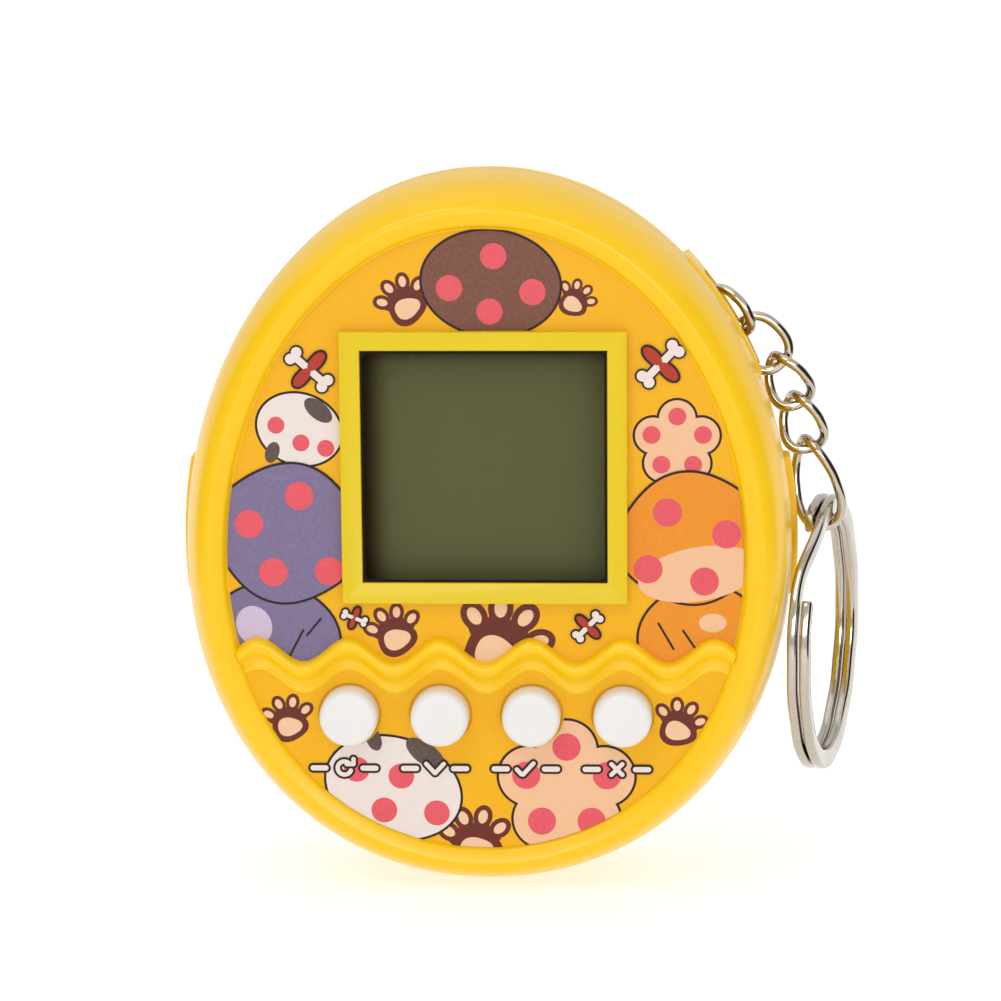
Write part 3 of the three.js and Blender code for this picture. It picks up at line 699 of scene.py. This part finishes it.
def rear_shell():
    profile = [(0.2, SEAM_Y), (0.06, SEAM_Y + 0.05), (0.0, SEAM_Y + 0.2)]
    profile += corner_arc((0.0, -6.0), (4.0, 0.0), power=2.15, steps=26)
    shell = egg_solid("rear_shell", profile)
    outward = Vector((BAR.x / HALF_WIDTH**2, BAR.z / HALF_HEIGHT**2)).normalized()
    lean = math.degrees(math.atan2(outward.y, outward.x))
    strap_pad = Vector((BAR.x, BAR.z)) + outward * 1.25 + Vector((outward.y, -outward.x)) * 0.7
    shell = join(
        shell,
        edge_pad("left_pad", PAD_PROUD, -4.4, 5.0, -HALF_WIDTH, -0.2, 180),
        edge_pad("right_pad", PAD_PROUD, -4.4, 5.0, HALF_WIDTH, -0.2, 0),
        edge_pad("strap_pad", STRAP_PROUD, -1.3, 4.9, strap_pad.x, strap_pad.y, -lean),
    )
    lug = plate("lug", notch_outline(NOTCH_RADIUS + 0.8), NOTCH_BACK_Y + 0.6, NOTCH_FRONT_Y - 0.7)
    lug = keep_within(lug, duplicate(shell))
    cavity = egg_solid("cavity", [
        (1.5, SEAM_Y - 1), (1.5, -6.0), (1.75, -4.4), (2.4, -2.9), (3.6, -BACK_WALL),
    ])
    shell = cut(shell, cavity)

    bosses = screw_rods("boss", SCREW_BOSS_RADIUS, -1, SEAM_Y + 0.15)
    bay_floor = -7.7
    bay_width, bay_height = 24.4, 12.2
    bay_z = DOOR_MIDDLE.z
    bay_body = block("bay_body", 0, bay_z, bay_width + 2, bay_height + 2, -1, bay_floor - 0.7)
    seat = cut(rod("seat", BUZZER.x, BUZZER.z, 8.1, -1, -2.9), rod("bore", BUZZER.x, BUZZER.z, 7.35, 0, -4))
    shell = join(shell, *bosses, bay_body, seat, lug)

    bay = cut(
        block("bay", 0, bay_z, bay_width, bay_height, 1, bay_floor),
        rod("door_boss", DOOR_SCREW.x, DOOR_SCREW.z, 1.5, -BACK_WALL - 0.1, bay_floor - 1),
    )
    door_size = DOOR_HIGH - DOOR_LOW
    opening = plate(
        "door_opening",
        rectangle(0, bay_z, door_size.x + 0.3, door_size.z + 0.3, 1.1),
        1, -BACK_WALL,
    )
    cuts = [bay, opening, rod("door_pilot", DOOR_SCREW.x, DOOR_SCREW.z, 1.0, 1, -6.6)]
    for side in (-1, 1):
        cuts.append(block(f"slit_{side}", side * 11.0, bay_z, 1.0, 4.4, bay_floor + 1, bay_floor - 2))
    for i, screw in enumerate(CASE_SCREWS):
        cuts.append(turned(f"screw_well_{i}", screw.x, screw.z, [
            (2.3, 1), (2.3, -0.9), (1.95, -1.3), (1.8, -1.6), (1.8, -3.4),
        ]))
        cuts.append(rod(f"screw_bore_{i}", screw.x, screw.z, SCREW_PILOT_RADIUS, 1, SEAM_Y - 1))
    sound_holes = [(BUZZER.x, BUZZER.z)] + circle(BUZZER.x, BUZZER.z, 2.4, 6)
    for i, (x, z) in enumerate(sound_holes):
        cuts.append(turned(f"speaker_{i}", x, z, [(0.8, 1), (0.8, 0.01), (0.6, -0.2), (0.6, -3)], 32))
    shell = cut(shell, *cuts)
    notch = plate("notch", notch_outline(NOTCH_RADIUS), NOTCH_BACK_Y, NOTCH_FRONT_Y)
    bar_core = rod("bar_core", BAR.x, BAR.z, 0.5, NOTCH_BACK_Y + 0.5, NOTCH_FRONT_Y - 0.5)
    return cut(shell, cut(notch, bar_core))


finished(rear_shell(), "case", "case_yellow", YELLOW, "rear_case")


def build_door():
    """The battery door: a soft-edged plate with grip ridges, a thumb notch and a screw recess."""
    size = DOOR_HIGH - DOOR_LOW
    z = DOOR_MIDDLE.z
    back = -0.1
    front = -1.45
    rings = []
    for inset, y in ((0.0, front), (0.0, back - 0.3), (0.08, back - 0.1), (0.28, back)):
        outline = rectangle(0, z, size.x - 2 * inset, size.z - 2 * inset, 1.0 - inset)
        rings.append(at_depth(outline, y))
    door = loft("battery_door_visual", rings)
    hooks = [block(f"hook_{side}", side * 11.5, z + 5.2, 0.9, 1.2, -1, -3.2) for side in (-1, 1)]
    door = join(door, *hooks)
    cuts = [
        rod("shank_hole", DOOR_SCREW.x, DOOR_SCREW.z, 1.05, 1, -3),
        turned("head_recess", DOOR_SCREW.x, DOOR_SCREW.z,
               [(1.9, 1), (1.9, -0.1), (1.65, -0.35), (1.65, -0.95)]),
        plate("thumb_notch", rectangle(0, z + size.z / 2, 5, 1.0, 0.3), 1, -0.6),
    ]
    for i in range(5):
        cuts.append(plate(f"groove_{i}", bar(0, z + 3.7 - i * 0.9, 7.0, 0.35), 1, -0.38))
    door = cut(door, *cuts)
    finished(door, "door", "case_yellow", YELLOW, "battery_door")


build_door()


def build_screw(node, body, head_radius, head_height, shank_radius):
    """A pan head with a cross recess, and a thread as a stack of rings."""
    place = middle_mm(node)
    tip = box_mm(node)[0].y
    head_back = box_mm(node)[1].y
    under = head_back - head_height
    profile = [
        (head_radius * 0.3, head_back), (head_radius * 0.7, head_back - 0.04),
        (head_radius * 0.9, head_back - 0.16), (head_radius, head_back - 0.34),
        (head_radius, under), (shank_radius, under),
    ]
    pitch = 0.55
    thread_y = under - 0.3
    while thread_y > tip + 1.2:
        profile += [(shank_radius, thread_y), (shank_radius - 0.16, thread_y - pitch / 2)]
        thread_y -= pitch
    profile += [(shank_radius - 0.1, tip + 1.0), (0.12, tip)]
    screw = turned(f"{node}_visual", place.x, place.z, profile, 48)
    reach = head_radius * 1.15
    slots = []
    for i, (across, along) in enumerate(((reach, 0.4), (0.4, reach))):
        top = rectangle(place.x, place.z, across, along)
        foot = rectangle(place.x, place.z, across * 0.55, along * 0.8)
        slots.append(loft(f"slot_{i}", [at_depth(top, head_back + 0.05), at_depth(foot, head_back - 0.55)]))
    screw = cut(screw, *slots)
    finished(screw, body, "steel", SCREW_STEEL, node)


for number in range(1, 5):
    build_screw(f"case_screw_{number}", "case", head_radius=1.6, head_height=1.1, shank_radius=0.9)
build_screw("battery_door_screw", "door", head_radius=1.5, head_height=0.7, shank_radius=0.85)


# ---- buttons
def build_buttons():
    flange_radius = 2.75
    for name, x in zip(BUTTON_NAMES, BUTTON_X):
        low, high = box_mm(f"{name}_button")
        flange_front = high.y - 0.7
        edge = corner_arc((BUTTON_RADIUS, low.y + 0.6), (BUTTON_RADIUS - 0.5, low.y + 0.02), 2.1, 12)
        profile = [
            (flange_radius - 0.1, high.y), (flange_radius, high.y - 0.1),
            (flange_radius, flange_front + 0.1), (flange_radius - 0.1, flange_front),
            (BUTTON_RADIUS + 0.06, flange_front), (BUTTON_RADIUS, flange_front - 0.06),
        ]
        profile += edge
        profile += [(BUTTON_RADIUS * 0.5, low.y + 0.005), (0.1, low.y)]
        button = turned(f"{name}_button_visual", x, BUTTON_Z, profile, 96)
        finished(button, f"{name}_key", "button_white", WHITE, f"{name}_button", smooth=40)


build_buttons()


# ---- screen
def build_screen():
    """The clear lens: a plate behind the face with a plug that fills the window, and a dark ring at its
    edge that paints the shade of the gap round the plug.
    """
    plug = -0.1  # the plug is this much inside the window
    corner = 0.5
    plug_front = PANEL_Y - 0.02
    lens = loft("display_lens_visual", [
        window_ring(LENS_LIP, LENS_HIGH.y, corner),
        window_ring(LENS_LIP, LENS_LOW.y, corner),
        window_ring(plug, LENS_LOW.y, corner),
        window_ring(plug, plug_front + 0.06, corner),
        window_ring(plug - 0.05, plug_front, corner - 0.05),
    ])
    finished(lens, "case", "lens_clear", CLEAR, "display_lens")
    lens.visible_shadow = False
    lens.visible_diffuse = False

    # the dark ring paints the shade in the narrow gap between the plug and the window's edge
    back = plug_front + 0.03
    front = plug_front - 0.04
    outer = (plug + 0.07, 0.1)
    inner = (plug - 0.11, 0.45)
    border = loft("lens_border", [
        window_ring(out, y, radius)
        for (out, radius), y in ((outer, back), (outer, front), (inner, front), (inner, back))
    ], loop=True)
    finished(border, "case", "black_plastic", GAP_SHADE_RING)


build_screen()


# ---- chain and split ring
def blunted(value, power=0.84):
    return signed_power(value, power)


def link_ends():
    """Each link's top and bottom wire centres, worked out from the joints between the links."""
    hold = WIRE + LINK_GAP / 2
    bar_radius = 0.52
    second_top = joint_mm("link_2_swing")
    third_top, third_bottom = joint_mm("link_3_swing"), joint_mm("link_4_swing")
    fifth_top, fifth_bottom = joint_mm("link_5_swing"), joint_mm("ring_swing")
    third_along = (third_bottom - third_top).normalized()
    fifth_along = (fifth_bottom - fifth_top).normalized()
    second_bottom = third_top + third_along * hold
    first_bottom = second_top + (second_bottom - second_top).normalized() * hold
    crossings = [
        BAR - (first_bottom - BAR).normalized() * bar_radius,
        first_bottom,
        second_bottom,
        third_bottom - third_along * hold,
        fifth_top + fifth_along * hold,
        fifth_bottom - fifth_along * hold,
    ]
    ends = []
    for top, bottom in zip(crossings, crossings[1:]):
        along = (bottom - top).normalized()
        ends.append((top - along * hold, bottom + along * hold))
    return ends


def link_path(top, bottom, width, top_twist, bottom_twist, closing_gap=0.02, steps=96):
    """An oval whose plane turns about the link's length, open by a hair where the wire's ends meet."""
    middle = (top + bottom) / 2
    along = (bottom - top).normalized()
    reach = (bottom - top).length / 2
    across = Vector((-along.z, 0, along.x))
    half_width = width / 2 - WIRE
    open_angle = closing_gap / half_width
    start = math.pi + open_angle / 2
    path = []
    for i in range(steps + 1):
        turn = start + (2 * math.pi - open_angle) * i / steps
        share = (1 + math.cos(turn)) / 2
        twist = math.radians(top_twist + (bottom_twist - top_twist) * share)
        side = half_width * blunted(math.sin(turn))
        place = middle + along * reach * blunted(math.cos(turn)) + across * side * math.cos(twist)
        path.append(place - Vector((0, side * math.sin(twist), 0)))
    return path


def build_chain():
    widths = [4.4, 4.2, 4.2, 4.2, 4.5]
    twists = [(0, 62), (4, 4), (72, 4), (72, 4), (72, 4)]
    section = circle(0, 0, WIRE, 20)
    for i, ((top, bottom), width, twist) in enumerate(zip(link_ends(), widths, twists), start=1):
        link = sweep(f"chain_link_{i}_visual", link_path(top, bottom, width, *twist), section,
                     (0, 1, 0), chamfer=0.01)
        finished(link, f"link_{i}", "nickel_plate", NICKEL, f"chain_link_{i}", smooth=60)


build_chain()


def build_ring():
    """Two turns of flat wire that step sideways past each other's ends."""
    low, high = box_mm("split_ring")
    centre = (low + high) / 2
    outer = (high.z - low.z) / 2
    wide, thick, gap = 1.5, 0.74, 0.14
    turns, step_angle, step_at, turned_by = 1.88, 0.35, 44, 13
    waves, wave_height = 13, 0.02
    radius = outer - wide / 2
    roll = Matrix.Rotation(math.radians(step_at), 3, "X")
    lean = Matrix.Rotation(math.radians(-turned_by), 3, "Z")
    steps = 360
    path = []
    for i in range(steps + 1):
        angle = 2 * math.pi * turns * (i / steps - 0.5)
        share = min(max((angle + step_angle) / (2 * step_angle), 0.0), 1.0)
        step = share * share * (3 - 2 * share)
        sideways = (step - 0.5) * (thick + gap) + wave_height * math.sin(waves * angle)
        place = Vector((sideways, radius * math.sin(angle), radius * math.cos(angle)))
        path.append(centre + lean @ (roll @ place))
    section = rectangle(0, 0, thick, wide, 0.26, steps=5)
    ring = sweep("split_ring_visual", path, section, lean @ Vector((1, 0, 0)), chamfer=0.1)
    finished(ring, "ring", "steel", STEEL, "split_ring", smooth=50)


build_ring()


# ---- printed face
# The print is a stack of thin films: each layer of ink stands a little higher than the last.
FILM = 0.03
LAYER = 0.008
FILM_ROOT = 0.1  # each film starts this far inside the face
UPPER_FACE = PANEL_Y
LOWER_FACE = PANEL_Y - LOWER_STEP
OUTLINE = 0.18  # the dark line round each shape


def upper_zone(name):
    """Where the upper print can be: inside the rim and outside the window frame."""
    zone = plate(name, egg(RECESS_INSET + 0.06), UPPER_FACE + 0.2, UPPER_FACE - 0.5)
    wider = 2 * FRAME_WIDTH - 0.04
    return cut(zone, block("frame_hole", WINDOW_X, WINDOW_Z, WINDOW_WIDTH + wider,
                           WINDOW_HEIGHT + wider, 0, -20))


def lower_zone(name):
    """Where the lower print can be: inside the rim, below the ridge and outside the button holes."""
    zone = plate(name, egg(RECESS_INSET - 0.12), LOWER_FACE + 0.2, LOWER_FACE - 0.5)
    steps = 120
    reach = HALF_WIDTH
    edge = [(-reach + 2 * reach * i / steps) for i in range(steps + 1)]
    below_ridge = [(x, scallop_z(x) - RIDGE_WIDTH - 0.05) for x in edge]
    below_ridge += [(reach, -2 * HALF_HEIGHT), (-reach, -2 * HALF_HEIGHT)]
    zone = keep_within(zone, plate("below_ridge", below_ridge, 0, -20))
    wells = [rod(f"well_{i}", x, BUTTON_Z, BUTTON_HOLE_RADIUS + 0.09, 0, -20)
             for i, x in enumerate(BUTTON_X)]
    return cut(zone, *wells)


ZONES = {"upper": upper_zone("upper_zone"), "lower": lower_zone("lower_zone")}
ZONE_FACES = {"upper": UPPER_FACE, "lower": LOWER_FACE}


def joined_meshes(name, pieces):
    """One object from several: their shells side by side, each keeping its material."""
    points, faces, marks, materials = [], [], [], []
    for piece, material in pieces:
        first = len(points)
        points += [v.co / MM for v in piece.data.vertices]
        faces += [tuple(first + v for v in p.vertices) for p in piece.data.polygons]
        if material not in materials:
            materials.append(material)
        marks += [materials.index(material)] * len(piece.data.polygons)
        bpy.data.objects.remove(piece)
    made = mesh_object(name, points, faces)
    for material in materials:
        made.data.materials.append(material)
    for polygon, mark in zip(made.data.polygons, marks):
        polygon.material_index = mark
    return made


def grown(outline, distance):
    """The outline moved outwards along its normals, for a shape whose points run anticlockwise."""
    points = []
    count = len(outline)
    for i, (x, z) in enumerate(outline):
        before, after = outline[i - 1], outline[(i + 1) % count]
        run = Vector((after[0] - before[0], after[1] - before[1]))
        if run.length == 0:
            points.append((x, z))
            continue
        run.normalize()
        points.append((x + run.y * distance, z - run.x * distance))
    return points


def print_motif(name, zone, layers, lift=0):
    """Layers are (ink, outlines) from the bottom up. A motif over another one starts higher, by lift."""
    face = ZONE_FACES[zone]
    films = []
    for level, (ink, outlines) in enumerate(layers, start=1 + lift):
        back = face + FILM_ROOT
        front = face - FILM - level * LAYER
        film, *rest = [plate(f"{name}_{level}_{i}", o, back, front) for i, o in enumerate(outlines)]
        if rest:
            film = join(film, *rest)
        films.append((keep_within(film, duplicate(ZONES[zone])), INK[ink]))
    made = joined_meshes(name, films)
    finished(made, "case", "face_print", list(made.data.materials))


def outlined(ink, *outlines):
    """A dark layer with a coloured one over it, a line's width smaller."""
    return [("dark", outlines), (ink, [grown(o, -OUTLINE) for o in outlines])]


def spots(ink, *places):
    return (ink, [oval(x, z, r, r, steps=40) for x, z, r in places])


def around(x, z, distance, count, turn=0.0):
    angles = [math.radians(turn) + 2 * math.pi * i / count for i in range(count)]
    return [(x + distance * math.cos(a), z + distance * math.sin(a)) for a in angles]


def paw(x, z, size, turn, toes=4):
    """A generic paw mark: a broad pad with toes in a fan above it."""
    place = turned_about(x, z, turn, size)
    pad = place(0, -0.28)
    dark = [oval(*pad, 0.64 * size, 0.54 * size, turn, bumps=3, depth=0.07)]
    light = [oval(*pad, 0.43 * size, 0.33 * size, turn, bumps=3, depth=0.07)]
    for i in range(toes):
        fan = (i - (toes - 1) / 2) * 0.62
        heading = turn - math.degrees(fan)
        toe = place(0.82 * math.sin(fan), -0.3 + 0.92 * math.cos(fan))
        web = place(0.55 * math.sin(fan), -0.3 + 0.6 * math.cos(fan))
        dark.append(oval(*toe, 0.24 * size, 0.31 * size, heading))
        dark.append(oval(*web, 0.22 * size, 0.32 * size, heading))
        light.append(oval(*toe, 0.12 * size, 0.18 * size, heading))
    return [("paw", dark), ("cream", light)]


def ribbon_bar(x, z, size, turn):
    """A small white bar with knobbed ends, tied in its middle with a red bow."""
    place = turned_about(x, z, turn, size)
    knob = 0.19 * size
    bars = [bar(x, z, 1.3 * size, 0.26 * size, turn)]
    bars += [oval(*place(end * 0.74, side * 0.16), knob, knob, steps=32)
             for end in (1, -1) for side in (1, -1)]
    bows = [oval(*place(0, side * 0.38), 0.38 * size, 0.25 * size, turn + 90, bumps=2, depth=0.12, steps=48)
            for side in (1, -1)]
    return [
        ("dark", [grown(o, 0.75 * OUTLINE) for o in bars + bows]),
        ("white", bars),
        ("red", [grown(o, -0.04) for o in bows]),
    ]


def flower(x, z, size, turn=0.0):
    """Five round petals with a spot in each."""
    petals = [oval(px, pz, 0.46 * size, 0.46 * size) for px, pz in around(x, z, 0.56 * size, 5, turn)]
    dots = [oval(px, pz, 0.2 * size, 0.2 * size) for px, pz in around(x, z, 0.6 * size, 5, turn)]
    return outlined("peach", *petals, oval(x, z, 0.5 * size, 0.5 * size)) + [("pink", dots)]


def print_upper_motifs():
    """Rounded patches of colour with polka dots, five-petalled flowers, paw marks and ribbon bars."""
    crease = 0.16
    print_motif("print_paw_top_left", "upper", paw(-5.7, 17.7, 2.2, 26))
    print_motif("print_paw_top_right", "upper", paw(6.7, 17.8, 1.6, -30))
    print_motif("print_brown_patch", "upper", outlined("brown", oval(0.6, 18.95, 5.15, 3.95, -6)) + [
        spots("pink", (-2.4, 18.6, 0.95), (3.6, 18.3, 0.95), (0.8, 20.9, 0.95), (0.5, 16.9, 0.95)),
    ], lift=3)
    print_motif("print_cloud", "upper", outlined("white", oval(-13.4, 8.3, 3.3, 2.75, -20)) + [
        ("grey", [oval(-12.0, 9.7, 1.2, 0.65, -40), oval(-15.4, 6.6, 0.5, 0.8, -20)]),
        spots("pink", (-15.1, 8.6, 0.62), (-13.3, 7.3, 0.62), (-11.5, 6.9, 0.62)),
    ])
    lavender_low = outlined("lavender", oval(-15.4, -7.0, 4.9, 3.9, -14))
    print_motif("print_lavender_patch_low", "upper", lavender_low + [
        ("pale", [oval(-17.0, -6.3, 1.3, 1.5, 20)]),
        ("dark", [bar(-13.9, -7.6, 2.2, crease, 62), bar(-12.6, -6.4, 1.6, crease, 50)]),
    ], lift=5)
    lavender = outlined("lavender", oval(-14.4, 0.6, 5.5, 5.2, -14, bumps=4, depth=0.03))
    print_motif("print_lavender_patch", "upper", lavender + [
        spots("pink", (-17.2, 1.3, 1.05), (-11.4, -2.2, 1.05), (-13.5, 3.4, 1.05), (-15.5, -2.3, 1.05)),
    ], lift=9)
    print_motif("print_flower", "upper", flower(14.0, 7.3, 3.25, 18))
    orange_low = outlined("orange", oval(15.6, -6.9, 4.6, 3.8, 12))
    print_motif("print_orange_patch_low", "upper", orange_low + [
        ("peach", [oval(16.6, -6.0, 1.0, 0.7)]),
        ("dark", [bar(13.2, -7.0, 2.2, crease, -60), bar(15.0, -7.4, 2.0, crease, -56)]),
    ], lift=5)
    orange = outlined("orange", oval(15.0, 0.3, 5.4, 4.9, 12, bumps=4, depth=0.03))
    print_motif("print_orange_patch", "upper", orange + [
        ("peach", [oval(15.6, -2.35, 4.5, 2.0, 10)]),
        spots("pink", (11.9, -2.0, 1.05), (17.6, 0.6, 1.05), (13.3, 2.2, 1.05), (16.0, -2.9, 1.05)),
    ], lift=9)
    print_motif("print_paw_left", "upper", paw(-6.7, -6.7, 2.3, 16))
    print_motif("print_paw_middle", "upper", paw(1.2, -7.4, 3.9, -22))
    for i, (x, z, size, turn) in enumerate([
        (-12.6, 12.7, 2.05, -42), (12.8, 13.1, 2.1, 46), (7.5, -6.3, 1.4, 46),
        (-9.6, -5.7, 1.05, -22),
    ]):
        print_motif(f"print_ribbon_bar_{i + 1}", "upper", ribbon_bar(x, z, size, turn), lift=13)


def print_lower_motifs():
    print_motif("print_lower_paw_middle", "lower", paw(-0.9, -22.4, 2.9, 4))
    print_motif("print_lower_paw_left", "lower", paw(-14.6, -13.3, 2.1, 8))
    print_motif("print_lower_paw_right", "lower", paw(14.2, -13.5, 2.15, -16))
    print_motif("print_lower_cloud", "lower", outlined("white", oval(-6.9, -18.5, 5.25, 3.95, -18)) + [
        ("grey", [oval(-4.5, -15.9, 1.7, 0.8, -38), oval(-8.3, -14.8, 0.55, 0.9, 20)]),
        spots("pink", (-9.6, -17.1, 0.95), (-7.6, -20.2, 0.95), (-3.7, -20.4, 0.95), (-6.3, -17.6, 0.95)),
    ], lift=3)
    print_motif("print_lower_flower", "lower", flower(5.9, -18.45, 5.2, 90), lift=3)


def mark_outlines(name, x, z):
    """Turning arrow, downward chevron, tick or cross."""
    stroke = 0.32
    if name == "reset":
        arc = []
        for degrees in range(60, 360, 30):
            a = math.radians(degrees)
            arc.append(bar(x + 0.5 * math.cos(a), z + 0.5 * math.sin(a), 0.16, stroke, degrees + 90))
        return arc + [bar(x + 0.42, z + 0.3, 0.5, stroke), bar(x + 0.68, z + 0.5, 0.4, stroke, 90)]
    if name == "select":
        return [bar(x - 0.33, z, 0.95, stroke, -48), bar(x + 0.33, z, 0.95, stroke, 48)]
    if name == "decide":
        return [bar(x - 0.5, z - 0.22, 0.5, stroke, -48), bar(x + 0.18, z, 1.15, stroke, 48)]
    return [bar(x, z, 1.15, stroke, 45), bar(x, z, 1.15, stroke, -45)]


def print_button_marks():
    """A white pictogram with a dark edge under each button, between two dashes."""
    z = BUTTON_Z - 4.1
    for name, button_x in zip(BUTTON_NAMES, BUTTON_X):
        x = button_x - 0.45
        marks = mark_outlines(name, x, z)
        marks += [bar(x + side * 1.85, z, 0.95, 0.4) for side in (-1, 1)]
        print_motif(f"print_{name}_mark", "lower", [
            ("dark", [grown(o, 0.17) for o in marks]),
            ("white", marks),
        ], lift=8)


def print_backgrounds():
    for zone, face in ZONE_FACES.items():
        sheet = block(f"print_background_{zone}", 0, 0, 4 * HALF_WIDTH, 4 * HALF_HEIGHT,
                      face + FILM_ROOT, face - FILM)
        film = keep_within(sheet, duplicate(ZONES[zone]))
        finished(film, "case", "face_print", PRINT_GOLD)


print_backgrounds()
print_upper_motifs()
print_lower_motifs()
print_button_marks()
for zone in ZONES.values():
    bpy.data.objects.remove(zone)


# ---- looks of the kept CAD nodes
def dress_kept_nodes():
    for node in frame["nodes"].values():
        for place in node.material_slots:
            slot = place.material.name if place.material else ""
            for name, look in SLOT_LOOKS.items():
                if slot.split(".")[0].endswith(name):
                    place.material = look


dress_kept_nodes()


# ---- floor and light
def soft_light(name, place, size, power):
    """A rectangular lamp that faces the middle of the case."""
    lamp = bpy.data.lights.new(name, "AREA")
    lamp.shape = "RECTANGLE"
    lamp.size, lamp.size_y = size
    lamp.energy = power
    made = bpy.data.objects.new(name, lamp)
    scene.collection.objects.link(made)
    made.location = Vector(place) * MM
    aim = Vector(place) - Vector((0, -8, 0))
    made.rotation_euler = aim.to_track_quat("Z", "Y").to_euler()
    return made


def build_stage():
    """A faintly glowing white table, soft lamps, one lamp that only makes gloss, and two dark cards."""
    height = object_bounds()[0][2] / MM
    reach = 3000
    corners = [(-reach, -reach, height), (reach, -reach, height), (reach, reach, height),
               (-reach, reach, height)]
    floor = mesh_object("floor", corners, [(0, 1, 2, 3)])
    white = surface("floor", (188, 188, 188), (190, 190, 190), 0.6, scale=2)
    shader = white.node_tree.nodes["Principled BSDF"]
    shader.inputs["Emission Color"].default_value = (1, 1, 1, 1)
    shader.inputs["Emission Strength"].default_value = 0.63
    floor.data.materials.append(white)
    floor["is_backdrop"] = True
    # a dark card at each side gives the metal something to reflect, and shows nowhere else
    dark = surface("card", (30, 24, 20), (40, 32, 26), 0.8, scale=4)
    for side in (-1, 1):
        card = block(f"card_{side}", side * 120, height + 60, 4, 120, 50, -150)
        card.data.materials.append(dark)
        card.visible_camera = False
        card.visible_diffuse = False
        card.visible_shadow = False
        card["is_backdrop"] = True
    soft_light("key", (-160, -330, 420), (0.24, 0.24), 0.5)
    soft_light("fill", (220, -360, 160), (0.3, 0.3), 0.12)
    soft_light("top", (0, 80, 420), (0.4, 0.3), 0.15)
    gleam = soft_light("gleam", (20, -425, 110), (0.32, 0.1), 0.55)
    gleam.visible_diffuse = False
    gleam.visible_transmission = False
    world = bpy.data.worlds.new("studio")
    world.use_nodes = True
    world.node_tree.nodes["Background"].inputs["Color"].default_value = (1, 1, 1, 1)
    world.node_tree.nodes["Background"].inputs["Strength"].default_value = 0.735
    scene.world = world
    scene.view_settings.view_transform = "Standard"


build_stage()

boxes = {"cad": cad_box, "visual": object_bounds()}
{k: [list(corner) for corner in v] for k, v in boxes.items()}
